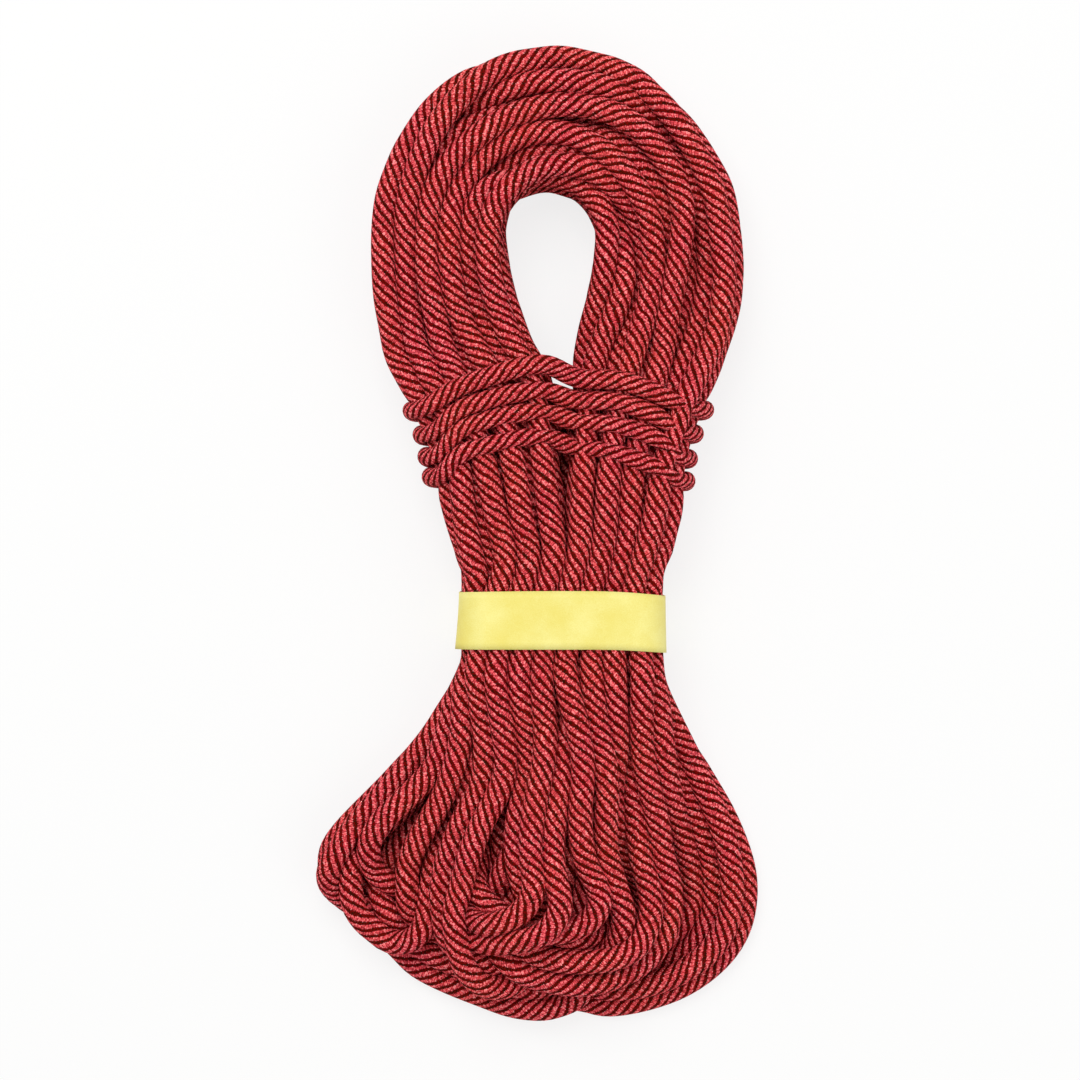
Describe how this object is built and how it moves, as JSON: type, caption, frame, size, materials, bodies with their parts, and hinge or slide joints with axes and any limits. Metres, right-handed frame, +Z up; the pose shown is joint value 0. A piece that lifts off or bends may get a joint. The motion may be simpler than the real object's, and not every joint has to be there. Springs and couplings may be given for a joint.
{
  "type": "climbing rope hank",
  "caption": "Braided dynamic climbing rope stored as a flat hank: a carrying eye, binding turns round both legs, spread lower bights and a sliding paper label band.",
  "frame": {"origin": "centre of the hank's footprint, on the surface it lies on", "axes": "+Y along the hank from the spread bights to the carrying eye, +Z up out of the surface, +X right as seen from above with the eye at the far end"},
  "size_m": [0.178, 0.391, 0.0531],
  "materials": {
    "sheath": "matte",
    "core": "matte",
    "tape": "satin",
    "melt": "satin",
    "sleeve": "gloss",
    "paper": "matte",
    "glue": "satin"
  },
  "bodies": {
    "rope": {"bights_left": "sheath", "bights_middle": "sheath", "bights_right": "sheath", "binding_turn_1": "sheath", "binding_turn_2": "sheath", "binding_turn_3": "sheath", "binding_turn_4": "sheath", "core_strand_a_1": "core", "core_strand_a_2": "core", "core_strand_a_3": "core", "core_strand_a_4": "core", "core_strand_a_5": "core", "core_strand_a_6": "core", "core_strand_a_7": "core", "core_strand_a_8": "core", "core_strand_a_9": "core", "core_strand_b_1": "core", "core_strand_b_2": "core", "core_strand_b_3": "core", "core_strand_b_4": "core", "core_strand_b_5": "core", "core_strand_b_6": "core", "core_strand_b_7": "core", "core_strand_b_8": "core", "core_strand_b_9": "core", "end_sleeve_a": "sleeve", "end_sleeve_b": "sleeve", "fused_tip_a": "melt", "fused_tip_b": "melt", "leg_left": "sheath", "leg_right": "sheath", "loop_crown": "sheath", "loop_shoulder_left": "sheath", "loop_shoulder_right": "sheath", "marker_tape_a": "tape", "marker_tape_b": "tape", "sheath_end_a": "sheath", "sheath_end_b": "sheath"},
    "band": {"label_band": "paper", "band_glue": "glue"}
  },
  "joints": [
    {"name": "band_slide", "type": "slide", "parent": "rope", "child": "band", "axis": [0, 1, 0], "range_m": [-0.002, 0.008]}
  ]
}
